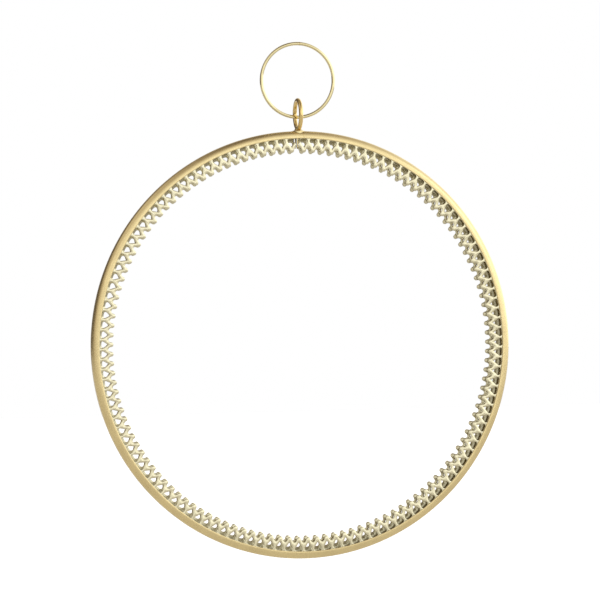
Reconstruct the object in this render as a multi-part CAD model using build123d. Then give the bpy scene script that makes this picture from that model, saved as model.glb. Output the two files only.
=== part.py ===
from build123d import *
from math import asin, atan2, cos, degrees, hypot, sin, sqrt
import os

# Wreath frame: a hoop rolled from a thin brass U channel that opens towards the
# middle, with a pierced and scalloped lace strip soldered inside each lip. A round
# wire eye is soldered on top, and a loose hanging ring is linked through it.
#
# Millimetres, +Z up. The hoop stands in the XZ plane with its front towards -Y.
# The origin is the hang point: the inside top of the hanging ring, where a hook bears.
# Angles round the hoop and the hanging ring run clockwise from the top, seen from
# the front.

# Rim band
rim_outer_diameter = 200.0
band_depth = 6.6
band_sheet = 0.6
band_bend_radius = 2.5
lip_width = 3.5
lip_edge_round = 0.25
band_seam_angle = 1.2
band_seam_gap = 0.5
band_seam_proud = 0.06

# Lace strips: the depths are measured inwards from the edge of the lip. The back strip's
# pattern is set in, and its holes are lower and smaller.
lace_sheet = 0.5
lace_edge_clearance = 0.2
lace_tooth_count = 129
lace_hole_start = 0.1
lace_hole_width = 3.6
lace_hole_height = 3.95
lace_hole_corner = 0.9
lace_notch_depth = 4.2
lace_reach = 6.65
lace_tip_radius = 1.1
lace_butt_angle = -0.6
lace_butt_web = 1.4
lace_butt_gap = 0.35
lace_solder_proud = 0.08
back_lace_set_in = 0.5
back_lace_hole_start = 1.35
back_lace_hole_width = 3.0

# Eye
eye_outer_diameter = 15.4
eye_wire = 2.0
eye_seat_gap = 0.05
eye_solder_radius = 2.9
eye_solder_neck_radius = 1.4
eye_solder_height = 2.3
eye_solder_sag = 0.45

# Hanging ring
ring_outer_diameter = 36.0
ring_wire = 1.6
ring_butt_angle = 4.2
ring_butt_gap = 0.4
ring_bead_proud = 0.06
link_drop = 1.3

# Worked out from the sizes above
rim_outer_radius = rim_outer_diameter / 2
half_depth = band_depth / 2
lip_radius = rim_outer_radius - lip_width
channel_half_width = half_depth - band_sheet
lace_outer_radius = rim_outer_radius - band_bend_radius - lace_edge_clearance
back_lace_hole_height = lace_hole_start + lace_hole_height - back_lace_hole_start
eye_radius = (eye_outer_diameter - eye_wire) / 2
eye_height = rim_outer_radius + eye_seat_gap + eye_outer_diameter / 2
ring_radius = (ring_outer_diameter - ring_wire) / 2
ring_centre_z = ring_wire / 2 - ring_radius
link_z = ring_centre_z - ring_radius
hoop_centre_z = link_z + link_drop - eye_height

FULL_TURN = 360.0
TOP = 90.0


def facing_front(centre_z):
    """Frame centred on the Z axis: its x is to the right, its y up, its z to the front."""
    return Plane(origin=(0, 0, centre_z), x_dir=(1, 0, 0), z_dir=(0, -1, 0))


def arc_degrees(length, radius):
    """Angle in degrees that an arc of this length takes at this radius."""
    return degrees(length / radius)


def swept_section(section, clockwise_start, clockwise_end):
    """Revolves a (radius, depth) section between two clockwise angles from the top."""
    start = TOP - clockwise_end
    return Rot(0, 0, start) * revolve(Plane.XZ * section, Axis.Z, clockwise_end - clockwise_start)


# ---------------------------------------------------------------- rim band


def channel_block(reach, half_width, bend):
    """Rectangle from the lip edge out to reach, with its two outer corners bent."""
    width = reach - lip_radius
    block = Pos(lip_radius + width / 2, 0) * Rectangle(width, 2 * half_width)
    return fillet(block.vertices().group_by(Axis.X)[-1], bend)


def channel_section(proud=0.0):
    """U section of the band; proud thickens its outside."""
    outside = channel_block(rim_outer_radius + proud, half_depth + proud, band_bend_radius + proud)
    inner_bend = band_bend_radius - band_sheet
    inside = channel_block(rim_outer_radius - band_sheet, channel_half_width, inner_bend)
    section = outside - inside
    return fillet(section.vertices().group_by(Axis.X)[0], lip_edge_round)


def make_rim_band():
    """Channel rolled into a hoop, open by the seam gap."""
    half_gap = arc_degrees(band_seam_gap, rim_outer_radius) / 2
    start = band_seam_angle + half_gap
    end = band_seam_angle + FULL_TURN - half_gap
    return swept_section(channel_section(), start, end)


def make_band_seam_solder():
    """Solder that closes the seam, a little proud of the band."""
    half_gap = arc_degrees(band_seam_gap, rim_outer_radius) / 2
    section = channel_section(band_seam_proud)
    return swept_section(section, band_seam_angle - half_gap, band_seam_angle + half_gap)


# ---------------------------------------------------------------- lace


def on_hoop(radius, clockwise, sideways=0.0):
    """Point at a radius on a ray from the centre, moved sideways at right angles to it."""
    ray = TOP - clockwise
    return Vector(radius, -sideways).rotate(Axis.Z, ray)


def lace_angles():
    """Clockwise angles of the teeth, evenly spaced from one side of the butt to the other."""
    web = arc_degrees(lace_butt_web, lip_radius)
    pitch = (FULL_TURN - web) / lace_tooth_count
    first = lace_butt_angle + web / 2 + pitch / 2
    return [first + index * pitch for index in range(lace_tooth_count)], pitch


def tooth_edge(angle, base):
    """Round-ended tooth: half a circle about a centre on the tooth's own ray."""
    centre_radius = base - lace_reach + lace_tip_radius
    before = on_hoop(centre_radius, angle, -lace_tip_radius)
    after = on_hoop(centre_radius, angle, lace_tip_radius)
    return before, ThreePointArc(before, on_hoop(base - lace_reach, angle), after), after


def lace_hole(angle, base, start, width, height):
    """Hole above a tooth: flat at its outer end, with two round corners, narrowing to a point."""
    centre_radius = base - start - lace_hole_corner
    sideways = width / 2 - lace_hole_corner
    drop = height - lace_hole_corner
    slant = atan2(sideways, drop) + asin(lace_hole_corner / hypot(sideways, drop))
    side = sqrt(hypot(sideways, drop) ** 2 - lace_hole_corner**2)
    apex_radius = base - start - height
    apex = on_hoop(apex_radius, angle)
    corners = []
    for hand in (-1, 1):
        foot = on_hoop(apex_radius + side * cos(slant), angle, hand * side * sin(slant))
        across = sideways + lace_hole_corner * cos(slant / 2)
        bend = on_hoop(centre_radius + lace_hole_corner * sin(slant / 2), angle, hand * across)
        corners.append((foot, bend, on_hoop(base - start, angle, hand * sideways)))
    left, right = corners
    outline = [
        Line(apex, left[0]),
        ThreePointArc(*left),
        Line(left[2], right[2]),
        ThreePointArc(right[2], right[1], right[0]),
        Line(right[0], apex),
    ]
    return Wire(outline)


def lace_face(base, hole_sizes):
    """Flat strip bent into a hoop: base is the radius its depths are measured from."""
    angles, pitch = lace_angles()
    half_gap = arc_degrees(lace_butt_gap, lip_radius) / 2
    start = lace_butt_angle + half_gap
    end = lace_butt_angle + FULL_TURN - half_gap
    outer_start = on_hoop(lace_outer_radius, start)
    outer_end = on_hoop(lace_outer_radius, end)
    outer_middle = on_hoop(lace_outer_radius, (start + end) / 2)
    root_radius = base - lace_notch_depth
    inner_start = on_hoop(root_radius, start)
    inner_end = on_hoop(root_radius, end)
    edges = [ThreePointArc(outer_end, outer_middle, outer_start), Line(outer_start, inner_start)]
    corner = inner_start
    for index, angle in enumerate(angles):
        before, tip, after = tooth_edge(angle, base)
        notch = on_hoop(root_radius, angle - pitch / 2)
        edges.append(ThreePointArc(corner, notch, before) if index else Line(corner, before))
        edges.append(tip)
        corner = after
    edges.append(Line(corner, inner_end))
    edges.append(Line(inner_end, outer_end))
    holes = [lace_hole(angle, base, *hole_sizes) for angle in angles]
    return Face(Wire(edges), holes)


def make_lace(set_in, inner_depth, hole_sizes):
    """One lace strip, its pattern set in from the lip, its sheet from one depth outwards."""
    face = lace_face(lip_radius - set_in, hole_sizes)
    return extrude(Pos(0, 0, inner_depth) * face, lace_sheet, (0, 0, 1))


def make_lace_solder(set_in, inner_depth, groove_side):
    """Solder bar between the strip's ends, proud of it on the side in the groove."""
    half_gap = arc_degrees(lace_butt_gap, lip_radius) / 2
    inner_radius = lip_radius - set_in - lace_notch_depth
    length = lace_outer_radius - inner_radius
    height = lace_sheet + lace_solder_proud
    centre = inner_depth + lace_sheet / 2 - groove_side * lace_solder_proud / 2
    section = Pos(inner_radius + length / 2, centre) * Rectangle(length, height)
    return swept_section(section, lace_butt_angle - half_gap, lace_butt_angle + half_gap)


# ---------------------------------------------------------------- eye and ring


def make_hanging_eye():
    """Closed wire loop that stands across the hoop."""
    return Plane.YZ * Pos(0, hoop_centre_z + eye_height) * Torus(eye_radius, eye_wire / 2)


def make_eye_solder(eye, seam_solder):
    """Concave fillet of solder round the foot of the eye."""
    foot_z = rim_outer_radius + eye_seat_gap
    neck_z = rim_outer_radius + eye_solder_height
    bottom_z = rim_outer_radius - band_bend_radius
    mid = Vector((eye_solder_radius + eye_solder_neck_radius) / 2, (foot_z + neck_z) / 2)
    sagged = mid - Vector(eye_solder_sag, eye_solder_sag)
    foot = (eye_solder_radius, foot_z)
    neck = (eye_solder_neck_radius, neck_z)
    outline = [
        Line((0, bottom_z), (eye_solder_radius, bottom_z)),
        Line((eye_solder_radius, bottom_z), foot),
        ThreePointArc(foot, sagged, neck),
        Line(neck, (0, neck_z)),
        Line((0, neck_z), (0, bottom_z)),
    ]
    mound = revolve(Plane.XZ * make_face(outline), Axis.Z)
    block = channel_block(rim_outer_radius, half_depth, band_bend_radius)
    hoop = facing_front(hoop_centre_z) * revolve(Plane.XZ * block, Axis.Z)
    return Pos(0, 0, hoop_centre_z) * mound - hoop - seam_solder - eye


def make_hanging_ring():
    """Loose wire ring, open by its butt gap."""
    half_gap = arc_degrees(ring_butt_gap, ring_radius) / 2
    section = Pos(ring_radius, 0) * Circle(ring_wire / 2)
    return swept_section(section, ring_butt_angle + half_gap, ring_butt_angle + FULL_TURN - half_gap)


def make_ring_solder():
    """Bead that closes the hanging ring, a little fatter than its wire."""
    half_gap = arc_degrees(ring_butt_gap, ring_radius) / 2
    section = Pos(ring_radius, 0) * Circle(ring_wire / 2 + ring_bead_proud)
    return swept_section(section, ring_butt_angle - half_gap, ring_butt_angle + half_gap)


def build_nodes():
    """Every piece under its node name, placed."""
    hoop = facing_front(hoop_centre_z)
    ring = facing_front(ring_centre_z)
    front_depth = channel_half_width - lace_sheet
    back_depth = -channel_half_width
    front_holes = (lace_hole_start, lace_hole_width, lace_hole_height)
    back_holes = (back_lace_hole_start, back_lace_hole_width, back_lace_hole_height)
    eye = make_hanging_eye()
    seam_solder = hoop * make_band_seam_solder()
    return {
        "rim_band": hoop * make_rim_band(),
        "band_seam_solder": seam_solder,
        "front_lace": hoop * make_lace(0.0, front_depth, front_holes),
        "front_lace_solder": hoop * make_lace_solder(0.0, front_depth, 1),
        "back_lace": hoop * make_lace(back_lace_set_in, back_depth, back_holes),
        "back_lace_solder": hoop * make_lace_solder(back_lace_set_in, back_depth, -1),
        "hanging_eye": eye,
        "eye_solder": make_eye_solder(eye, seam_solder),
        "hanging_ring": ring * make_hanging_ring(),
        "ring_solder": ring * make_ring_solder(),
    }


os.makedirs("parts", exist_ok=True)
for node, shape in build_nodes().items():
    export_step(shape, f"parts/{node}.step")
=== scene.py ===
"""Looks of the wreath frame: a brass channel hoop with pierced lace strips, an eye and a hanging ring."""

import logging
import math
from dataclasses import dataclass
from enum import Enum
from typing import ClassVar

import bmesh
import bpy
from mathutils import Euler, Matrix, Quaternion, Vector


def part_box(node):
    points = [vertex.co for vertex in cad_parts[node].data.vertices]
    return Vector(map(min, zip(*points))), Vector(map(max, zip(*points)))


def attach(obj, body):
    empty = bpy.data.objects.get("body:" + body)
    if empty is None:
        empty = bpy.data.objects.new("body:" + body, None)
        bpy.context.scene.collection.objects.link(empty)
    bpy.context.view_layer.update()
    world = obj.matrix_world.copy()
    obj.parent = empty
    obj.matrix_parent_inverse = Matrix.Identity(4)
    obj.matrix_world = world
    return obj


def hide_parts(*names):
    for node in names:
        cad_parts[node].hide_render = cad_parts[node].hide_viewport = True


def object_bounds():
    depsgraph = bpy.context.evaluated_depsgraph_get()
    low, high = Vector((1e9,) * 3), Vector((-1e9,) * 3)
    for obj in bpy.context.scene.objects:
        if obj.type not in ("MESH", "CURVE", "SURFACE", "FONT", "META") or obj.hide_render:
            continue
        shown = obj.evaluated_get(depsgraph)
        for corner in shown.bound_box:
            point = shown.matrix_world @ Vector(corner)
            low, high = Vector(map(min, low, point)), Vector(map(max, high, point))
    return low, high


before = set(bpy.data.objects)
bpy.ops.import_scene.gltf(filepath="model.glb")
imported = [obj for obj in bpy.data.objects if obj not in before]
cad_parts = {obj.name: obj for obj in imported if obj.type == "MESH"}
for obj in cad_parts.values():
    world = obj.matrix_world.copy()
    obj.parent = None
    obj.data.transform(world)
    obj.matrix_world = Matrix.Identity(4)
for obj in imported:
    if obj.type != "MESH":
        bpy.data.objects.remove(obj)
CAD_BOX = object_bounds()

LOG = logging.getLogger("wreath_frame")
MM = 0.001
FIXED_SEED = 7

# Attribute of a piece: 1 on an open face, lower in a recess, at a cut edge or under the lace's lip, where the
# material paints shade and tarnish into the colour.
LIT_CLEAN_FACE = "lit_clean_face"

# Hand-made unevenness: a swept strip's waves, as a share of its loop's radius, and the lace's, per metre.
SWEEP_WAVE_SHARE = 0.35
LACE_WAVES = 120.0

# How far below the object the floor lies, and where the camera aims from the hoop's centre, in millimetres.
FLOOR_DROP = 50.0
AIM_OFFSET = (-0.5, 0.0, 21.0)

# Nodes that keep their own shape and are only dressed.
HOOP_SOLDER = ("band_seam_solder", "front_lace_solder", "back_lace_solder", "eye_solder")
RING_SOLDER = ("ring_solder",)

Outline = list[tuple[float, float]]


class Body(Enum):
    """CAD bodies that the pieces ride on."""

    HOOP = "hoop"
    HANGER = "hanger"


class LaceSide(Enum):
    """Which lip a lace strip lies behind; its pressed side faces out of the groove."""

    FRONT = 1
    BACK = -1


class Facing(Enum):
    """How a loop drawn flat in X and Y is turned into place, as X, Y, Z angles."""

    FRONT = (math.pi / 2, 0.0, 0.0)
    SIDE = (math.pi / 2, 0.0, math.pi / 2)


# ---------------------------------------------------------------- shared helpers


def linear_colour(hex_colour: str) -> tuple[float, float, float, float]:
    """Turns an sRGB hex colour into the linear colour that nodes use.

    Args:
        hex_colour: Colour such as "#C8A24A".

    Returns:
        Red, green, blue and alpha, linear.
    """
    values = [int(hex_colour[start : start + 2], 16) / 255 for start in (1, 3, 5)]
    linear = [v / 12.92 if v <= 0.04045 else ((v + 0.055) / 1.055) ** 2.4 for v in values]
    return (*linear, 1.0)


def add_node(tree: bpy.types.NodeTree, kind: str, inputs: dict | None = None, **settings) -> bpy.types.Node:
    """Adds a node with its settings, its input values and its links.

    Args:
        tree: Tree that the node goes into.
        kind: Blender's identifier of the node.
        inputs: Value or output socket for each input, by name or by place.
        settings: Properties of the node itself.

    Returns:
        The new node.
    """
    node = tree.nodes.new(kind)
    for name, value in settings.items():
        setattr(node, name, value)
    for place, value in (inputs or {}).items():
        if isinstance(value, bpy.types.NodeSocket):
            tree.links.new(value, node.inputs[place])
        else:
            node.inputs[place].default_value = value
    return node


def geometry_tree(name: str, sockets: dict[str, str]) -> tuple[bpy.types.NodeTree, bpy.types.Node]:
    """Starts a Geometry Nodes tree.

    Args:
        name: Name of the tree.
        sockets: Kind of each named input, after the geometry.

    Returns:
        The tree and its input node.
    """
    tree = bpy.data.node_groups.new(name, "GeometryNodeTree")
    tree.interface.new_socket(name="Geometry", in_out="OUTPUT", socket_type="NodeSocketGeometry")
    tree.interface.new_socket(name="Geometry", in_out="INPUT", socket_type="NodeSocketGeometry")
    for socket, kind in sockets.items():
        tree.interface.new_socket(name=socket, in_out="INPUT", socket_type=f"NodeSocket{kind}")
    return tree, add_node(tree, "NodeGroupInput")


def finish_tree(tree: bpy.types.NodeTree, source: bpy.types.Node, geometry: bpy.types.NodeSocket) -> None:
    """Ends a Geometry Nodes tree: turned and moved into place, made real and given its material.

    Args:
        tree: Tree to end.
        source: Its input node, which has Turn, Centre and Material.
        geometry: Finished shape, flat in X and Y about the origin.
    """
    placed = add_node(
        tree,
        "GeometryNodeTransform",
        {"Geometry": geometry, "Translation": source.outputs["Centre"], "Rotation": source.outputs["Turn"]},
    )
    real = add_node(tree, "GeometryNodeRealizeInstances", {"Geometry": placed.outputs[0]})
    smooth = add_node(tree, "GeometryNodeSetShadeSmooth", {"Geometry": real.outputs[0]})
    dressed = add_node(
        tree,
        "GeometryNodeSetMaterial",
        {"Geometry": smooth.outputs[0], "Material": source.outputs["Material"]},
    )
    add_node(tree, "NodeGroupOutput", {"Geometry": dressed.outputs[0]})


def new_piece(name: str, mesh: bpy.types.Mesh) -> bpy.types.Object:
    """Makes an object at the origin for a mesh and links it into the scene."""
    piece = bpy.data.objects.new(name, mesh)
    bpy.context.scene.collection.objects.link(piece)
    return piece


def bake_tree(piece: bpy.types.Object, tree: bpy.types.NodeTree, values: dict) -> None:
    """Runs a Geometry Nodes tree on a piece and keeps the result as its plain mesh.

    Args:
        piece: Piece whose own mesh is the tree's geometry.
        tree: Geometry Nodes tree.
        values: Value of each named input.
    """
    modifier = piece.modifiers.new(tree.name, "NODES")
    modifier.node_group = tree
    for item in tree.interface.items_tree:
        if item.in_out == "INPUT" and item.name in values:
            modifier[item.identifier] = values[item.name]
    graph = bpy.context.evaluated_depsgraph_get()
    evaluated = piece.evaluated_get(graph)
    made = bpy.data.meshes.new_from_object(evaluated, preserve_all_data_layers=True, depsgraph=graph)
    piece.modifiers.clear()
    drawn, piece.data = piece.data, made
    bpy.data.meshes.remove(drawn)
    made.name = piece.name


def point_outwards(mesh: bpy.types.Mesh) -> None:
    """Turns a closed mesh's faces outwards if they all point inwards."""
    work = bmesh.new()
    work.from_mesh(mesh)
    if work.calc_volume(signed=True) < 0:
        bmesh.ops.reverse_faces(work, faces=work.faces)
    work.to_mesh(mesh)
    work.free()


def hand_over(piece: bpy.types.Object, body: Body, slot: str, *nodes: str) -> None:
    """Ties a finished piece to the frame and reports it.

    Args:
        piece: Finished piece.
        body: Body that it rides on.
        slot: Material slot of the record that its finish belongs to; not used.
        nodes: CAD nodes that it stands for.
    """
    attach(piece, body.value)
    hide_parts(*nodes)
    triangles = sum(len(face.vertices) - 2 for face in piece.data.polygons)
    replaced = ", ".join(nodes)
    LOG.info("%s: %d triangles, rides on %s, stands for %s", piece.name, triangles, body.value, replaced)


# ---------------------------------------------------------------- loops


@dataclass(frozen=True)
class Loop:
    """Path of a strip or a wire: a circle that opens at one angle.

    The angle is counter-clockwise in the loop's own plane, from its X axis.
    """

    centre: Vector
    radius: float
    facing: Facing
    opens_at: float
    gap: float

    @property
    def turn(self) -> Euler:
        """Turn that brings the flat loop into place."""
        return Euler(self.facing.value)

    def pattern_turn(self) -> Matrix:
        """Turn from the scene to the loop's plane, with the opening on its negative X axis."""
        return Matrix.Rotation(math.pi - self.opens_at, 3, "Z") @ self.turn.to_matrix().inverted()


def rounded_corner(
    centre: tuple[float, float], radius: float, start: float, sweep: float, steps: int
) -> Outline:
    """Points of a corner arc.

    Args:
        centre: Centre of the arc.
        radius: Its radius.
        start: Angle of its first point, in degrees.
        sweep: Angle that it turns through, in degrees.
        steps: Number of segments.

    Returns:
        Points from the first to the last.
    """
    angles = [math.radians(start + sweep * step / steps) for step in range(steps + 1)]
    return [(centre[0] + radius * math.cos(a), centre[1] + radius * math.sin(a)) for a in angles]


def outline_mesh(name: str, points: Outline, recessed: int = 0) -> bpy.types.Mesh:
    """Closed outline of a section, as edges only.

    Args:
        name: Name of the mesh.
        points: Corners in order, in millimetres.
        recessed: Number of corners, at the end of the list, that lie in a groove.

    Returns:
        The outline in metres, with its open face marked; the groove's corners are marked for painted shade
        and tarnish.
    """
    mesh = bpy.data.meshes.new(name)
    count = len(points)
    edges = [(place, (place + 1) % count) for place in range(count)]
    mesh.from_pydata([(x * MM, y * MM, 0.0) for x, y in points], edges, [])
    marks = mesh.attributes.new(LIT_CLEAN_FACE, "FLOAT", "POINT")
    for place, mark in enumerate(marks.data):
        mark.value = 1.0 if place < count - recessed else 0.0
    return mesh


def sweep_tree() -> bpy.types.NodeTree:
    """Geometry Nodes tree that carries a section round an open circle.

    Section x points away from the circle's centre. The hand-made waver only draws the strip inwards.

    Returns:
        The tree.
    """
    sockets = {
        "Radius": "Float",
        "Start": "Float",
        "Sweep": "Float",
        "Steps": "Int",
        "Waver": "Float",
        "Waver Length": "Float",
        "Seed": "Float",
        "Centre": "Vector",
        "Turn": "Rotation",
        "Material": "Material",
    }
    tree, source = geometry_tree("strip round a hoop", sockets)
    value = source.outputs
    section = add_node(tree, "GeometryNodeMeshToCurve", {"Mesh": value["Geometry"]})
    arc = add_node(
        tree,
        "GeometryNodeCurveArc",
        {
            "Resolution": value["Steps"],
            "Radius": value["Radius"],
            "Start Angle": value["Start"],
            "Sweep Angle": value["Sweep"],
        },
        mode="RADIUS",
    )
    upright = add_node(tree, "GeometryNodeSetCurveNormal", {"Curve": arc.outputs["Curve"]}, mode="Z_UP")
    strip = add_node(
        tree,
        "GeometryNodeCurveToMesh",
        {"Curve": upright.outputs[0], "Profile Curve": section.outputs[0], "Fill Caps": True},
    )
    place = add_node(tree, "GeometryNodeInputPosition")
    fineness = add_node(tree, "ShaderNodeMath", {0: 1.0, 1: value["Waver Length"]}, operation="DIVIDE")
    noise = add_node(
        tree,
        "ShaderNodeTexNoise",
        {"Vector": place.outputs[0], "W": value["Seed"], "Scale": fineness.outputs[0], "Detail": 1.0},
        noise_dimensions="4D",
    )
    share = add_node(tree, "ShaderNodeMath", {0: value["Waver"], 1: value["Radius"]}, operation="DIVIDE")
    pull = add_node(tree, "ShaderNodeMath", {0: noise.outputs[0], 1: share.outputs[0]}, operation="MULTIPLY")
    inwards = add_node(tree, "ShaderNodeMath", {0: pull.outputs[0], 1: -1.0}, operation="MULTIPLY")
    offset = add_node(
        tree, "ShaderNodeVectorMath", {0: place.outputs[0], "Scale": inwards.outputs[0]}, operation="SCALE"
    )
    moved = add_node(
        tree, "GeometryNodeSetPosition", {"Geometry": strip.outputs[0], "Offset": offset.outputs[0]}
    )
    finish_tree(tree, source, moved.outputs[0])
    return tree


def sweep_piece(
    name: str,
    loop: Loop,
    outline: Outline,
    steps: int,
    waver: float,
    material: bpy.types.Material,
    recessed: int = 0,
) -> bpy.types.Object:
    """Sweeps a section round a loop from one side of its opening to the other.

    Args:
        name: Name of the piece.
        loop: Path of the section.
        outline: Section, x away from the loop's centre, in millimetres.
        steps: Points along the loop.
        waver: Largest hand-made unevenness, in metres.
        material: Finish of the piece.
        recessed: Number of corners, at the end of the outline, that lie in a groove.

    Returns:
        The piece, as a closed plain mesh.
    """
    tree = bpy.data.node_groups.get("strip round a hoop") or sweep_tree()
    half_gap = loop.gap / loop.radius / 2
    piece = new_piece(name, outline_mesh(name, outline, recessed))
    values = {
        "Radius": loop.radius,
        "Start": loop.opens_at + half_gap,
        "Sweep": math.tau - 2 * half_gap,
        "Steps": steps,
        "Waver": waver,
        "Waver Length": SWEEP_WAVE_SHARE * loop.radius,
        "Seed": float(FIXED_SEED),
        "Centre": loop.centre,
        "Turn": loop.turn,
        "Material": material,
    }
    bake_tree(piece, tree, values)
    point_outwards(piece.data)
    return piece


# ---------------------------------------------------------------- finishes


def loop_coordinates(tree: bpy.types.NodeTree, loop: Loop) -> dict[str, bpy.types.NodeSocket]:
    """Pattern coordinates that run round a loop, in millimetres.

    Args:
        tree: Material's tree.
        loop: Loop that the pattern follows.

    Returns:
        Sockets for along the loop, away from its centre line and across it.
    """
    turn = loop.pattern_turn()
    centred = add_node(
        tree,
        "ShaderNodeMapping",
        {
            "Vector": add_node(tree, "ShaderNodeTexCoord").outputs["Object"],
            "Location": -(turn @ loop.centre) / MM,
            "Rotation": turn.to_euler(),
            "Scale": (1 / MM,) * 3,
        },
    )
    parts = add_node(tree, "ShaderNodeSeparateXYZ", {0: centred.outputs[0]})
    radius = loop.radius / MM
    angle = add_node(
        tree, "ShaderNodeMath", {0: parts.outputs["Y"], 1: parts.outputs["X"]}, operation="ARCTAN2"
    )
    along = add_node(tree, "ShaderNodeMath", {0: angle.outputs[0], 1: radius}, operation="MULTIPLY")
    flat = add_node(tree, "ShaderNodeCombineXYZ", {"X": parts.outputs["X"], "Y": parts.outputs["Y"]})
    reach = add_node(tree, "ShaderNodeVectorMath", {0: flat.outputs[0]}, operation="LENGTH")
    away = add_node(tree, "ShaderNodeMath", {0: reach.outputs["Value"], 1: radius}, operation="SUBTRACT")
    return {"along": along.outputs[0], "away": away.outputs[0], "across": parts.outputs["Z"]}


@dataclass(frozen=True)
class BrassFinish:
    """Lacquered brass: a warm metal with a grain that follows how it was drawn or rolled.

    The clear lacquer gives a pale second gleam over the metal, and the tarnish that was there before
    lacquering stays in the recesses. Where the open face attribute is low, in a recess, at a cut edge or
    under the lace's lip, the colour is drawn towards the tarnish colour: partly that tarnish, partly
    painted shade. Lengths are in millimetres. The bands say between which values
    of a noise, or of the open face attribute, an effect grows from nothing to full.
    """

    MOTTLE_BAND: ClassVar[tuple[float, float]] = (0.35, 0.75)
    SPECKLE_BAND: ClassVar[tuple[float, float]] = (0.3, 0.7)
    RECESS_BAND: ClassVar[tuple[float, float]] = (0.2, 0.9)

    name: str
    colour: str
    # Colour of tarnish, and of the painted shade in recesses, at cut edges and under the lip.
    tarnish_and_shade: str
    roughness: float
    roughness_spread: float
    grain_length: float
    grain_width: float
    grain_depth: float
    speckle: float
    speckle_depth: float
    mottle: float
    mottle_share: float
    lacquer: float
    lacquer_roughness: float

    def build(self, loop: Loop, recess_shade_and_tarnish: float = 0.0) -> bpy.types.Material:
        """Builds the material for a piece that follows a loop.

        Args:
            loop: Loop that the grain runs round.
            recess_shade_and_tarnish: Share of tarnish colour where the piece's open face attribute is 0, as
                painted shade and tarnish.

        Returns:
            The material.
        """
        material = bpy.data.materials.new(self.name)
        material.use_nodes = True
        tree = material.node_tree
        tree.nodes.clear()
        run = loop_coordinates(tree, loop)
        stretched = add_node(
            tree,
            "ShaderNodeCombineXYZ",
            {
                "X": self._scaled(tree, run["along"], 1 / self.grain_length),
                "Y": self._scaled(tree, run["away"], 1 / self.grain_width),
                "Z": self._scaled(tree, run["across"], 1 / self.grain_width),
            },
        )
        grain = add_node(
            tree, "ShaderNodeTexNoise", {"Vector": stretched.outputs[0], "Scale": 1.0, "Detail": 2.0}
        )
        even = add_node(
            tree, "ShaderNodeCombineXYZ", {"X": run["along"], "Y": run["away"], "Z": run["across"]}
        )
        speckle = add_node(
            tree, "ShaderNodeTexNoise", {"Vector": even.outputs[0], "Scale": 1 / self.speckle, "Detail": 3.0}
        )
        mottle = add_node(
            tree, "ShaderNodeTexNoise", {"Vector": even.outputs[0], "Scale": 1 / self.mottle, "Detail": 2.0}
        )
        share = add_node(
            tree,
            "ShaderNodeMapRange",
            {
                "Value": mottle.outputs[0],
                "From Min": self.MOTTLE_BAND[0],
                "From Max": self.MOTTLE_BAND[1],
                "To Max": self.mottle_share,
            },
        ).outputs[0]
        # Painted shade and tarnish: the colour darkens towards the tarnish colour where the open face
        # attribute is low.
        if recess_shade_and_tarnish:
            edge = add_node(tree, "ShaderNodeAttribute", attribute_name=LIT_CLEAN_FACE)
            shade_and_tarnish_share = add_node(
                tree,
                "ShaderNodeMapRange",
                {
                    "Value": edge.outputs["Fac"],
                    "From Min": self.RECESS_BAND[0],
                    "From Max": self.RECESS_BAND[1],
                    "To Min": recess_shade_and_tarnish,
                    "To Max": 0.0,
                },
            )
            most = add_node(tree, "ShaderNodeMath", {0: share, 1: shade_and_tarnish_share.outputs[0]}, operation="MAXIMUM")
            share = most.outputs[0]
        colour = add_node(
            tree,
            "ShaderNodeMix",
            {0: share, 6: linear_colour(self.colour), 7: linear_colour(self.tarnish_and_shade)},
            data_type="RGBA",
        )
        rough = add_node(
            tree,
            "ShaderNodeMapRange",
            {
                "Value": speckle.outputs[0],
                "From Min": self.SPECKLE_BAND[0],
                "From Max": self.SPECKLE_BAND[1],
                "To Min": self.roughness - self.roughness_spread,
                "To Max": self.roughness + self.roughness_spread,
            },
        )
        lines = add_node(
            tree,
            "ShaderNodeBump",
            {"Strength": 1.0, "Distance": self.grain_depth * MM, "Height": grain.outputs[0]},
        )
        pits = add_node(
            tree,
            "ShaderNodeBump",
            {
                "Strength": 1.0,
                "Distance": self.speckle_depth * MM,
                "Height": speckle.outputs[0],
                "Normal": lines.outputs[0],
            },
        )
        shader = add_node(
            tree,
            "ShaderNodeBsdfPrincipled",
            {
                "Base Color": colour.outputs[2],
                "Metallic": 1.0,
                "Roughness": rough.outputs[0],
                "Normal": pits.outputs[0],
                "Coat Weight": self.lacquer,
                "Coat Roughness": self.lacquer_roughness,
            },
        )
        add_node(tree, "ShaderNodeOutputMaterial", {"Surface": shader.outputs[0]})
        return material

    @staticmethod
    def _scaled(tree: bpy.types.NodeTree, value: bpy.types.NodeSocket, factor: float) -> bpy.types.NodeSocket:
        """Multiplies a value by a constant."""
        return add_node(tree, "ShaderNodeMath", {0: value, 1: factor}, operation="MULTIPLY").outputs[0]


# Yellow brass strip, cold rolled and satin: fine lines run round the hoop, a grainy gleam. The real
# lines are about 0.05 mm apart; they are drawn wider so that they show.
ROLLED_BRASS = BrassFinish(
    name="rolled_yellow_brass_lacquered",
    colour="#EFDBA2",
    # Tarnish colour; inside the groove it is also the painted shade.
    tarnish_and_shade="#A08A58",
    roughness=0.30,
    roughness_spread=0.06,
    grain_length=7.0,
    grain_width=0.3,
    grain_depth=0.006,
    speckle=0.7,
    speckle_depth=0.014,
    mottle=9.0,
    mottle_share=0.15,
    lacquer=0.5,
    lacquer_roughness=0.2,
)

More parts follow.
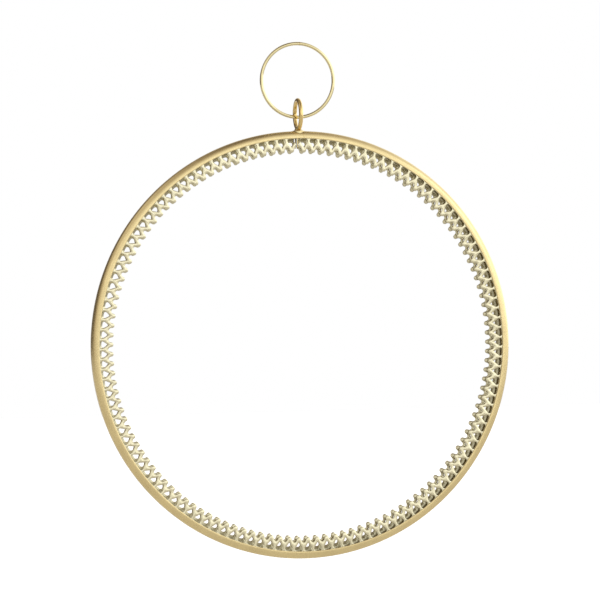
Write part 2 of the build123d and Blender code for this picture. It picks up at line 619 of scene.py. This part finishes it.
# Thin brass strip, pressed and pierced, then gilt: paler and a little brighter than the band, with
# tarnish and painted shade on its cut edges, and painted shade on its flat side under the lip.
PRESSED_BRASS = BrassFinish(
    name="pressed_brass_strip_gilt",
    colour="#EFE8C4",
    tarnish_and_shade="#5E5434",
    roughness=0.26,
    roughness_spread=0.05,
    grain_length=2.0,
    grain_width=0.5,
    grain_depth=0.004,
    speckle=0.6,
    speckle_depth=0.012,
    mottle=5.0,
    mottle_share=0.15,
    lacquer=0.6,
    lacquer_roughness=0.18,
)

# Drawn brass wire, buffed: draw lines run along the wire and the gleam is sharp.
BUFFED_WIRE = BrassFinish(
    name="drawn_brass_wire_buffed",
    colour="#F0D48E",
    tarnish_and_shade="#9A7840",
    roughness=0.08,
    roughness_spread=0.02,
    grain_length=4.0,
    grain_width=0.25,
    grain_depth=0.001,
    speckle=0.8,
    speckle_depth=0.001,
    mottle=3.0,
    mottle_share=0.08,
    lacquer=0.4,
    lacquer_roughness=0.1,
)

# Drawn brass wire, left dull by its lacquer: pale and softly bright.
LACQUERED_WIRE = BrassFinish(
    name="drawn_brass_wire_lacquered",
    colour="#EADDAA",
    tarnish_and_shade="#8A7B4C",
    roughness=0.1,
    roughness_spread=0.03,
    grain_length=5.0,
    grain_width=0.25,
    grain_depth=0.004,
    speckle=0.8,
    speckle_depth=0.004,
    mottle=4.0,
    mottle_share=0.15,
    lacquer=0.5,
    lacquer_roughness=0.15,
)

# Soft solder that flowed and set, gilt with the rest: smooth and slightly lumpy.
SET_SOLDER = BrassFinish(
    name="set_solder_gilt",
    colour="#E8D49A",
    tarnish_and_shade="#8A7444",
    roughness=0.22,
    roughness_spread=0.08,
    grain_length=1.2,
    grain_width=0.9,
    grain_depth=0.03,
    speckle=0.5,
    speckle_depth=0.02,
    mottle=1.5,
    mottle_share=0.4,
    lacquer=0.5,
    lacquer_roughness=0.15,
)


# ---------------------------------------------------------------- rim band


@dataclass
class RimBand:
    """Channel of thin brass strip, rolled into a hoop and closed by a soldered seam."""

    sheet: float = 0.6
    bend_radius: float = 2.5
    lip_width: float = 3.5
    edge_round: float = 0.25
    seam_angle: float = 1.2
    seam_gap: float = 0.5
    bend_hold: float = 0.08
    bend_steps: int = 14
    edge_steps: int = 3
    # Share of tarnish colour in the groove: tarnish and painted shade inside the channel.
    groove_shade_and_tarnish: float = 0.7
    waver: float = 0.05
    steps: int = 361

    def __post_init__(self) -> None:
        """Takes the hoop's place and size from the frame."""
        low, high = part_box("rim_band")
        self.half_depth = (high.y - low.y) / 2 / MM
        self.loop = Loop(
            centre=(low + high) / 2,
            radius=(high.x - low.x) / 2,
            facing=Facing.FRONT,
            opens_at=math.radians(90 - self.seam_angle),
            gap=self.seam_gap * MM,
        )

    def section(self) -> tuple[Outline, Outline]:
        """Outline of the channel, whose outer bends are flattened towards the lips.

        Returns:
            Corners of the outside and of the groove, x from the outside of the hoop, in millimetres.
        """
        bend, edge, half = self.bend_radius, self.edge_round, self.half_depth
        groove, inner_bend = half - self.sheet, bend - self.sheet
        lip = -self.lip_width
        crown = self.lip_width - edge
        deep, hold = crown - self.sheet, self.bend_hold
        outer_bend = rounded_corner((0.0, 0.0), 1.0, 90, -90, self.bend_steps)
        groove_bend = rounded_corner((0.0, 0.0), 1.0, 0, 90, self.bend_steps // 2)
        upper = [
            *rounded_corner((lip + edge, half - edge), edge, 180, -90, self.edge_steps)[:-1],
            *((x * crown - crown, y * bend + half - bend) for x, y in outer_bend),
            (0.0, half - bend - hold),
        ]
        inside = [
            (-self.sheet, groove - inner_bend - hold),
            *((x * deep - crown, y * inner_bend + groove - inner_bend) for x, y in groove_bend),
            *rounded_corner((lip + edge, groove + edge), edge, 270, -90, self.edge_steps)[1:],
        ]
        lower = [(x, -y) for x, y in reversed(upper)]
        return upper + lower, [(x, -y) for x, y in reversed(inside)] + inside

    def build(self) -> None:
        """Makes the band and dresses its seam."""
        material = ROLLED_BRASS.build(self.loop, recess_shade_and_tarnish=self.groove_shade_and_tarnish)
        outside, groove = self.section()
        outline, waver = outside + groove, self.waver * MM
        piece = sweep_piece("rim_band_channel", self.loop, outline, self.steps, waver, material, len(groove))
        hand_over(piece, Body.HOOP, "band_brass", "rim_band")


# ---------------------------------------------------------------- lace


@dataclass
class LaceStrip:
    """Pierced and scalloped strip: one tooth with its hole, repeated round the hoop.

    The teeth are domed a little on the pressed side, and the sheet is flat where it rests on the lip.
    Spokes run from the hole's outline to the tile's. The ring offsets are distances along a spoke,
    from the hole, or from the tile's outline where negative, or half way for None.
    """

    HOLE_SHARES: ClassVar[tuple[float, ...]] = (0.0, 0.08, 0.2, 0.35, 0.5, 0.65, 0.8)
    HOLE_BEND_STEPS: ClassVar[int] = 4
    TIP_ANGLES: ClassVar[tuple[float, ...]] = (0, 32, 62, 90)
    NOTCH_ANGLES: ClassVar[tuple[float, ...]] = (30, 60)
    SIDE_STEPS: ClassVar[tuple[float, ...]] = (0.0, 0.12, 0.7, 2.9)
    TOP_SHARES: ClassVar[tuple[float, ...]] = (0.45, 0.0)
    CUT_SPOKES: ClassVar[int] = 7
    TOP_SPOKES: ClassVar[int] = 2
    PRESSED_RINGS: ClassVar[tuple[float | None, ...]] = (0.0, 0.05, 0.18, None, -0.18, -0.05, -0.0)
    FLAT_RINGS: ClassVar[tuple[float | None, ...]] = (0.0, 0.12, -0.12, -0.0)
    LONGEST_OFFSET: ClassVar[float] = 0.4

    side: LaceSide
    lip_radius: float
    set_in: float = 0.0
    teeth: int = 129
    hole_start: float = 0.1
    hole_width: float = 3.6
    hole_end: float = 4.05
    hole_corner: float = 0.9
    notch_depth: float = 4.2
    reach: float = 6.65
    tip_radius: float = 1.1
    butt_angle: float = -0.6
    butt_web: float = 1.4
    butt_gap: float = 0.35
    edge_round: float = 0.16
    crown: float = 0.13
    crown_reach: float = 0.9
    crown_fullness: float = 0.8
    lip_rest: float = 0.2
    half_spokes: int = 12
    # How open the sheet is near a cut edge and on the flat side under the lip, and the share of tarnish
    # colour where it is least open: painted shade and tarnish on the cut edges, painted shade under the lip.
    lit_clean_reach: float = 0.45
    lit_clean_at_edge: float = 0.65
    lit_clean_under_lip: float = 0.5
    edge_shade_and_tarnish: float = 0.95
    weld: float = 0.01
    waver: float = 0.1

    def __post_init__(self) -> None:
        """Takes the strip's place and thickness from the frame."""
        self.node = f"{self.side.name.lower()}_lace"
        low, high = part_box(self.node)
        rim_low, rim_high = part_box("rim_band")
        hoop_centre = (rim_low + rim_high) / 2
        self.half_sheet = (high.y - low.y) / 2 / MM
        self.outer_radius = (high.x - low.x) / 2 / MM
        self.base = self.lip_radius - self.set_in
        self.loop = Loop(
            centre=Vector((hoop_centre.x, (low.y + high.y) / 2, hoop_centre.z)),
            radius=self.base * MM,
            facing=Facing.FRONT,
            opens_at=math.radians(90 - self.butt_angle),
            gap=self.butt_gap * MM,
        )
        self.web = self.butt_web / self.lip_radius
        self.pitch = (math.tau - self.web) / self.teeth

    def hole_half(self) -> list[Vector]:
        """Half of the hole's outline, from its point to the middle of its flat outer end."""
        flat = self.base - self.hole_start
        corner = Vector((flat - self.hole_corner, self.hole_width / 2 - self.hole_corner))
        apex = Vector((self.base - self.hole_end, 0.0))
        reach = corner - apex
        slant = math.atan2(reach.y, reach.x) + math.asin(self.hole_corner / reach.length)
        side = math.sqrt(reach.length_squared - self.hole_corner**2)
        foot = apex + Vector((math.cos(slant), math.sin(slant))) * side
        straight = [apex.lerp(foot, share) for share in self.HOLE_SHARES]
        steps = self.HOLE_BEND_STEPS
        bend = [
            corner + Vector((math.cos(a), math.sin(a))) * self.hole_corner
            for a in ((math.pi / 2 + slant) * (1 - step / steps) for step in range(steps + 1))
        ]
        return straight + bend + [Vector((flat, 0.0))]

    def outer_half(self) -> list[Vector]:
        """Half of the tile's outline, from the tooth's tip to the middle of the strip's outer edge."""
        tip_centre = self.base - self.reach + self.tip_radius
        tip = [
            Vector((tip_centre - self.tip_radius * math.cos(a), self.tip_radius * math.sin(a)))
            for a in map(math.radians, self.TIP_ANGLES)
        ]
        root = self.base - self.notch_depth
        half = self.pitch / 2
        end = Vector((root * math.cos(half), root * math.sin(half)))
        start = tip[-1]
        notch = [
            Vector((start.x + (end.x - start.x) * math.sin(a), end.y + (start.y - end.y) * math.cos(a)))
            for a in map(math.radians, self.NOTCH_ANGLES)
        ]
        outer = self.outer_radius
        radii = (*(root + step for step in self.SIDE_STEPS), outer)
        side = [Vector((r * math.cos(half), r * math.sin(half))) for r in radii]
        turns = [half * share for share in self.TOP_SHARES]
        top = [Vector((outer * math.cos(turn), outer * math.sin(turn))) for turn in turns]
        return tip + notch + side + top

    def tile(self) -> bpy.types.Mesh:
        """One tooth, its hole and half of each neighbouring web, open where the next tile joins.

        Returns:
            The tile on the X axis, its pressed side up, in metres.
        """
        hole = self._both_halves(self.hole_half())
        outer = self._both_halves(self.outer_half())
        count = len(hole)
        edge_ends = set(range(self.CUT_SPOKES)) | {count - step for step in range(1, self.CUT_SPOKES)}
        pairs = [(i, (i + 1) % count) for i in range(count)]
        cut = [(outer[i], outer[after]) for i, after in pairs if {i, after} <= edge_ends]
        cut += [(hole[i], hole[after]) for i, after in pairs]
        work = bmesh.new()
        # Vertex layer for painted shade and tarnish, lower at cut edges and under the lip.
        lit_clean = work.verts.layers.float.new(LIT_CLEAN_FACE)
        pressed = self._rings(work, lit_clean, hole, outer, cut, self.PRESSED_RINGS, 1, {})
        shared = {(i, 0): pressed[i][0] for i in range(count)}
        shared |= {(i, -1): pressed[i][-1] for i in edge_ends}
        flat = self._rings(work, lit_clean, hole, outer, cut, self.FLAT_RINGS, -1, shared)
        for i, after in pairs:
            for k in range(len(pressed[0]) - 1):
                work.faces.new((pressed[i][k], pressed[i][k + 1], pressed[after][k + 1], pressed[after][k]))
            for k in range(len(flat[0]) - 1):
                work.faces.new((flat[after][k], flat[after][k + 1], flat[i][k + 1], flat[i][k]))
            if self.half_spokes - self.TOP_SPOKES <= i < self.half_spokes + self.TOP_SPOKES:
                work.faces.new((pressed[i][-1], flat[i][-1], flat[after][-1], pressed[after][-1]))
        mesh = bpy.data.meshes.new(self.node)
        work.to_mesh(mesh)
        work.free()
        return mesh

    @staticmethod
    def _both_halves(half: list[Vector]) -> list[Vector]:
        """Closes a half outline with its mirror image, without doubling the two middle points."""
        return half + [Vector((p.x, -p.y)) for p in reversed(half[1:-1])]

    def _rings(
        self,
        work: bmesh.types.BMesh,
        layer: bmesh.types.BMLayerItem,
        hole: list[Vector],
        outer: list[Vector],
        cut: list[tuple[Vector, Vector]],
        offsets: tuple,
        way: int,
        shared: dict,
    ) -> list[list[bmesh.types.BMVert]]:
        """Vertices of one side of the tile, on spokes from the hole to the outline.

        Args:
            work: Mesh under construction.
            layer: Vertex layer that keeps how open, and so how free of painted shade and tarnish, the sheet
                is.
            hole: Outline of the hole.
            outer: Outline of the tile, as many points as the hole.
            cut: Cut edges, as pairs of points.
            offsets: Distance of each ring from the hole, negative from the outline, None for half way.
            way: 1 for the pressed side, -1 for the flat side.
            shared: Vertices that are there already, by spoke and end.

        Returns:
            Vertices by spoke and ring.
        """
        spokes = []
        for i, (start, end) in enumerate(zip(hole, outer)):
            length = (end - start).length
            spoke = []
            for k, offset in enumerate(offsets):
                last = -1 if k == len(offsets) - 1 else k
                if (i, last) in shared:
                    spoke.append(shared[i, last])
                    continue
                if last == -1:
                    share = 1.0
                elif offset is None:
                    share = 0.5
                else:
                    share = min(abs(offset) / length, self.LONGEST_OFFSET)
                    share = 1 - share if offset < 0 else share
                point = start.lerp(end, share)
                away = min(self._distance(point, a, b) for a, b in cut)
                height = way * self._height(point, away, way)
                vertex = work.verts.new((point.x * MM, point.y * MM, height * MM))
                vertex[layer] = self._lit_clean(point, away, way)
                spoke.append(vertex)
            spokes.append(spoke)
        return spokes

    def _height(self, point: Vector, away: float, way: int) -> float:
        """Height of the surface over the sheet's middle, rounded at a cut edge and domed when pressed.

        Args:
            point: Place on the tile.
            away: Distance to the nearest cut edge.
            way: 1 on the pressed side, -1 on the flat side.

        Returns:
            The height in millimetres.
        """
        rise = math.sqrt(1 - (1 - min(away / self.edge_round, 1.0)) ** 2)
        domed = way > 0 and point.x < self.base - self.lip_rest
        crown = self.crown * min(away / self.crown_reach, 1.0) ** self.crown_fullness if domed else 0.0
        return self.half_sheet * rise + crown

    def _lit_clean(self, point: Vector, away: float, way: int) -> float:
        """How open the sheet is: less at a cut edge, and least on the flat side by the lip.

        Args:
            point: Place on the tile.
            away: Distance to the nearest cut edge.
            way: 1 on the pressed side, -1 on the flat side.

        Returns:
            The open face value, from 0 to 1; the lower it is, the more painted shade and tarnish.
        """
        # Painted shade under the lip, where the flat side sits in the groove's corner.
        if way < 0 and point.x > self.base - self.hole_start:
            return self.lit_clean_under_lip
        return self.lit_clean_at_edge + (1.0 - self.lit_clean_at_edge) * min(away / self.lit_clean_reach, 1.0)

    @staticmethod
    def _distance(point: Vector, start: Vector, end: Vector) -> float:
        """Distance from a point to a straight edge."""
        edge = end - start
        share = max(0.0, min(1.0, (point - start).dot(edge) / max(edge.length_squared, 1e-12)))
        return (point - start - edge * share).length

    @staticmethod
    def ring_tree() -> bpy.types.NodeTree:
        """Geometry Nodes tree that repeats a tile round the hoop and welds its neighbours."""
        sockets = {
            "Count": "Int",
            "First": "Float",
            "Pitch": "Float",
            "Tile Turn": "Float",
            "Weld": "Float",
            "Waver": "Float",
            "Seed": "Float",
            "Centre": "Vector",
            "Turn": "Rotation",
            "Material": "Material",
        }
        tree, source = geometry_tree("lace round a hoop", sockets)
        value = source.outputs
        points = add_node(tree, "GeometryNodePoints", {"Count": value["Count"]})
        index = add_node(tree, "GeometryNodeInputIndex")
        step = add_node(
            tree,
            "ShaderNodeMath",
            {0: index.outputs[0], 1: value["Pitch"], 2: value["First"]},
            operation="MULTIPLY_ADD",
        )
        turn = add_node(tree, "ShaderNodeCombineXYZ", {"X": value["Tile Turn"], "Z": step.outputs[0]})
        tiles = add_node(
            tree,
            "GeometryNodeInstanceOnPoints",
            {"Points": points.outputs[0], "Instance": value["Geometry"], "Rotation": turn.outputs[0]},
        )
        real = add_node(tree, "GeometryNodeRealizeInstances", {"Geometry": tiles.outputs[0]})
        welded = add_node(
            tree, "GeometryNodeMergeByDistance", {"Geometry": real.outputs[0], "Distance": value["Weld"]}
        )
        noise = add_node(
            tree,
            "ShaderNodeTexNoise",
            {"W": value["Seed"], "Scale": LACE_WAVES, "Detail": 1.0},
            noise_dimensions="4D",
        )
        centred = add_node(
            tree,
            "ShaderNodeVectorMath",
            {0: noise.outputs["Color"], 1: (0.5, 0.5, 0.5)},
            operation="SUBTRACT",
        )
        offset = add_node(
            tree, "ShaderNodeVectorMath", {0: centred.outputs[0], "Scale": value["Waver"]}, operation="SCALE"
        )
        moved = add_node(
            tree, "GeometryNodeSetPosition", {"Geometry": welded.outputs[0], "Offset": offset.outputs[0]}
        )
        finish_tree(tree, source, moved.outputs[0])
        return tree

    def build(self) -> None:
        """Makes the strip, closes its two ends and dresses it."""
        name = f"{self.node}_strip"
        material = PRESSED_BRASS.build(self.loop, recess_shade_and_tarnish=self.edge_shade_and_tarnish)
        piece = new_piece(name, self.tile())
        tree = bpy.data.node_groups.get("lace round a hoop") or self.ring_tree()
        first = math.radians(90 - self.butt_angle) - self.web / 2 - self.pitch / 2
        values = {
            "Count": self.teeth,
            "First": first,
            "Pitch": -self.pitch,
            "Tile Turn": 0.0 if self.side is LaceSide.FRONT else math.pi,
            "Weld": self.weld * MM,
            "Waver": self.waver * MM,
            "Seed": float(FIXED_SEED),
            "Centre": self.loop.centre,
            "Turn": self.loop.turn,
            "Material": material,
        }
        bake_tree(piece, tree, values)
        self._close_ends(piece.data)
        hand_over(piece, Body.HOOP, "lace_brass", self.node)

    def _close_ends(self, mesh: bpy.types.Mesh) -> None:
        """Draws the strip's two open ends on to the butt gap and closes them.

        Args:
            mesh: Strip whose only open edges are at its two ends.
        """
        work = bmesh.new()
        work.from_mesh(mesh)
        drawn = (self.butt_web - self.butt_gap) / 2 / self.lip_radius
        edges = [edge for edge in work.edges if edge.is_boundary]
        made = bmesh.ops.extrude_edge_only(work, edges=edges)["geom"]
        verts = [item for item in made if isinstance(item, bmesh.types.BMVert)]
        butt = math.radians(90 - self.butt_angle)
        for vertex in verts:
            local = vertex.co - self.loop.centre
            angle = math.atan2(local.z, local.x)
            way = 1 if (angle - butt + math.pi) % math.tau < math.pi else -1
            vertex.co = self.loop.centre + Matrix.Rotation(way * drawn, 3, "Y") @ local
        bmesh.ops.holes_fill(work, edges=[edge for edge in work.edges if edge.is_boundary], sides=0)
        bmesh.ops.recalc_face_normals(work, faces=work.faces)
        work.to_mesh(mesh)
        work.free()
        point_outwards(mesh)


# ---------------------------------------------------------------- eye and hanging ring


def wire_section(diameter: float, sides: int) -> Outline:
    """Round section of a wire.

    Args:
        diameter: Wire's diameter, in millimetres.
        sides: Number of corners.

    Returns:
        Corners in order.
    """
    return rounded_corner((0.0, 0.0), diameter / 2, 0.0, 360.0 * (sides - 1) / sides, sides - 1)


@dataclass
class HangingEye:
    """Buffed wire loop that stands across the hoop, its ends butted in its solder."""

    wire_sides: int = 20
    steps: int = 97
    gap: float = 0.5
    waver: float = 0.02

    def __post_init__(self) -> None:
        """Takes the eye's place and size from the frame."""
        low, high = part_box("hanging_eye")
        self.wire = (high.x - low.x) / MM
        self.loop = Loop(
            centre=(low + high) / 2,
            radius=(high.z - low.z - (high.x - low.x)) / 2,
            facing=Facing.SIDE,
            opens_at=-math.pi / 2,
            gap=self.gap * MM,
        )

    def build(self) -> None:
        """Makes the eye."""
        material = BUFFED_WIRE.build(self.loop)
        section = wire_section(self.wire, self.wire_sides)
        piece = sweep_piece("hanging_eye_loop", self.loop, section, self.steps, self.waver * MM, material)
        hand_over(piece, Body.HOOP, "eye_brass", "hanging_eye")


@dataclass
class HangingRing:
    """Loose wire ring, closed by a small bead of solder."""

    wire_sides: int = 20
    steps: int = 161
    butt_angle: float = 4.2
    butt_gap: float = 0.4
    waver: float = 0.02

    def __post_init__(self) -> None:
        """Takes the ring's place and size from the frame."""
        low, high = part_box("hanging_ring")
        self.wire = (high.y - low.y) / MM
        self.loop = Loop(
            centre=(low + high) / 2,
            radius=(high.x - low.x - (high.y - low.y)) / 2,
            facing=Facing.FRONT,
            opens_at=math.radians(90 - self.butt_angle),
            gap=self.butt_gap * MM,
        )

    def build(self) -> None:
        """Makes the ring."""
        material = LACQUERED_WIRE.build(self.loop)
        section = wire_section(self.wire, self.wire_sides)
        piece = sweep_piece("hanging_ring_loop", self.loop, section, self.steps, self.waver * MM, material)
        hand_over(piece, Body.HANGER, "ring_brass", "hanging_ring")


def dress_solder(loop: Loop, names: tuple[str, ...]) -> None:
    """Gives the small solder joints that stay as CAD nodes their finish.

    Args:
        loop: Loop that the joints lie on.
        names: Their nodes.
    """
    material = SET_SOLDER.build(loop)
    for name in names:
        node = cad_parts[name]
        node.data.materials.clear()
        node.data.materials.append(material)
        LOG.info("%s: CAD node kept, soldered finish", name)


# ---------------------------------------------------------------- studio


@dataclass(frozen=True)
class Glow:
    """Soft patch of the studio's surround: where it is, how wide it spreads and how bright it is."""

    direction: tuple[float, float, float]
    tightness: float
    strength: float


@dataclass(frozen=True)
class Softbox:
    """Large square lamp that points at the aim: its place from there, its side and its power."""

    name: str
    place: tuple[float, float, float]
    size: float
    power: float


@dataclass
class Studio:
    """Pale floor, soft light and the camera.

    The dim parts of the surround are a little warm. The floor lift is the glow of the floor in
    reflections and as the camera sees it.
    """

    aim: Vector
    floor_height: float
    azimuth: float = -12.6
    elevation: float = 0.7
    roll: float = -0.95
    distance: float = 2.0
    lens: float = 256.6
    sensor: float = 36.0
    clip: tuple[float, float] = (0.05, 50.0)
    floor_size: float = 6.0
    floor_lift: tuple[float, float] = (0.08, 0.7)
    dim_tint: str = "#FFEEDE"
    tint_band: tuple[float, float] = (0.35, 1.0)
    softboxes: tuple[Softbox, ...] = (
        Softbox("right_softbox", (1.3, -0.9, 0.7), 0.8, 1.6),
        Softbox("left_softbox", (-1.1, -1.4, 0.6), 0.6, 0.5),
    )
    surround: float = 0.5
    darkest: float = 0.12
    glows: tuple[Glow, ...] = (
        Glow((0.2, -1.0, 0.0), 4.5, 0.7),
        Glow((-1.0, -1.0, 0.0), 3.0, 0.15),
        Glow((1.0, 0.0, 0.0), 1.0, 0.58),
        Glow((1.0, 0.0, 0.0), 4.0, 0.35),
        Glow((0.55, 0.83, 0.0), 3.0, 0.6),
        Glow((-1.0, 0.0, 0.0), 8.0, -0.4),
        Glow((-0.5, 0.86, 0.0), 4.0, -0.6),
        Glow((-0.8, 0.6, 0.0), 4.0, -0.45),
        Glow((-1.0, 0.0, 1.0), 8.0, 0.4),
        Glow((-1.0, 0.0, -1.0), 8.0, 0.5),
        Glow((0.0, 0.0, 1.0), 4.0, -0.42),
        Glow((0.0, 0.0, -1.0), 4.0, 0.2),
    )

    def build(self) -> None:
        """Sets up the whole studio."""
        self._floor()
        self._surround()
        self._lamps()
        self._camera()
        bpy.context.scene.view_settings.view_transform = "Standard"
        bpy.context.scene.view_settings.look = "None"

    def _floor(self) -> None:
        """Large pale floor below the object."""
        half = self.floor_size / 2
        mesh = bpy.data.meshes.new("studio_floor")
        corners = [(-half, -half), (half, -half), (half, half), (-half, half)]
        mesh.from_pydata([(x, y, self.floor_height) for x, y in corners], [], [(0, 1, 2, 3)])
        floor = new_piece("studio_floor", mesh)
        material = bpy.data.materials.new("matt_white_paper")
        material.use_nodes = True
        tree = material.node_tree
        tree.nodes.clear()
        path = add_node(tree, "ShaderNodeLightPath")
        in_reflections, in_view = self.floor_lift
        lift = add_node(
            tree,
            "ShaderNodeMapRange",
            {"Value": path.outputs["Is Camera Ray"], "To Min": in_reflections, "To Max": in_view},
        )
        shader = add_node(
            tree,
            "ShaderNodeBsdfPrincipled",
            {
                "Base Color": linear_colour("#F4F4F2"),
                "Roughness": 0.9,
                "Emission Color": linear_colour("#FFFFFF"),
                "Emission Strength": lift.outputs[0],
            },
        )
        add_node(tree, "ShaderNodeOutputMaterial", {"Surface": shader.outputs[0]})
        mesh.materials.append(material)

    def _surround(self) -> None:
        """White to the eye; in reflections, a dim room with soft bright patches."""
        world = bpy.data.worlds.new("soft_studio")
        bpy.context.scene.world = world
        world.use_nodes = True
        tree = world.node_tree
        tree.nodes.clear()
        direction = add_node(tree, "ShaderNodeTexCoord").outputs["Generated"]
        level = self.surround
        for glow in self.glows:
            towards = add_node(
                tree,
                "ShaderNodeVectorMath",
                {0: direction, 1: Vector(glow.direction).normalized()},
                operation="DOT_PRODUCT",
            )
            lit = add_node(tree, "ShaderNodeMath", {0: towards.outputs["Value"], 1: 0.0}, operation="MAXIMUM")
            spread = add_node(
                tree, "ShaderNodeMath", {0: lit.outputs[0], 1: glow.tightness}, operation="POWER"
            )
            level = add_node(
                tree,
                "ShaderNodeMath",
                {0: spread.outputs[0], 1: glow.strength, 2: level},
                operation="MULTIPLY_ADD",
            ).outputs[0]
        held = add_node(tree, "ShaderNodeMath", {0: level, 1: self.darkest}, operation="MAXIMUM")
        path = add_node(tree, "ShaderNodeLightPath")
        seen = add_node(
            tree, "ShaderNodeMix", {0: path.outputs["Is Camera Ray"], 2: held.outputs[0], 3: 1.0}
        ).outputs[0]
        dim, full = self.tint_band
        warmth = add_node(tree, "ShaderNodeMapRange", {"Value": seen, "From Min": dim, "From Max": full})
        tint = add_node(
            tree,
            "ShaderNodeMix",
            {0: warmth.outputs[0], 6: linear_colour(self.dim_tint), 7: linear_colour("#FFFFFF")},
            data_type="RGBA",
        )
        light = add_node(tree, "ShaderNodeBackground", {"Color": tint.outputs[2], "Strength": seen})
        add_node(tree, "ShaderNodeOutputWorld", {"Surface": light.outputs[0]})

    def _lamps(self) -> None:
        """Large soft lamps, hidden from the camera."""
        for box in self.softboxes:
            lamp = bpy.data.lights.new(box.name, "AREA")
            lamp.size = box.size
            lamp.energy = box.power
            place = Vector(box.place)
            holder = bpy.data.objects.new(box.name, lamp)
            holder.location = self.aim + place
            holder.rotation_euler = (-place).to_track_quat("-Z", "Y").to_euler()
            holder.visible_camera = False
            bpy.context.scene.collection.objects.link(holder)

    def _camera(self) -> None:
        """Camera on the left front, level with the object's middle."""
        turn, rise = math.radians(self.azimuth), math.radians(self.elevation)
        back = Vector((math.sin(turn) * math.cos(rise), -math.cos(turn) * math.cos(rise), math.sin(rise)))
        camera = bpy.data.objects.new("camera", bpy.data.cameras.new("camera"))
        camera.data.lens = self.lens
        camera.data.sensor_width = self.sensor
        camera.data.clip_start, camera.data.clip_end = self.clip
        camera.location = self.aim + back * self.distance
        level = (-back).to_track_quat("-Z", "Y")
        camera.rotation_mode = "QUATERNION"
        camera.rotation_quaternion = level @ Quaternion((0, 0, 1), math.radians(self.roll))
        bpy.context.scene.collection.objects.link(camera)
        bpy.context.scene.camera = camera


def main() -> None:
    """Builds every piece around the frame, then the studio."""
    logging.basicConfig(level=logging.INFO, format="%(message)s")
    band = RimBand()
    band.build()
    lip_radius = band.loop.radius / MM - band.lip_width
    LaceStrip(side=LaceSide.FRONT, lip_radius=lip_radius).build()
    back = LaceStrip(LaceSide.BACK, lip_radius, set_in=0.5, hole_start=1.35, hole_width=3.0)
    back.build()
    HangingEye().build()
    ring = HangingRing()
    ring.build()
    dress_solder(band.loop, HOOP_SOLDER)
    dress_solder(ring.loop, RING_SOLDER)
    lowest, _ = CAD_BOX
    aim = band.loop.centre + Vector(AIM_OFFSET) * MM
    Studio(aim=aim, floor_height=lowest.z - FLOOR_DROP * MM).build()


if __name__ == "__main__":
    main()
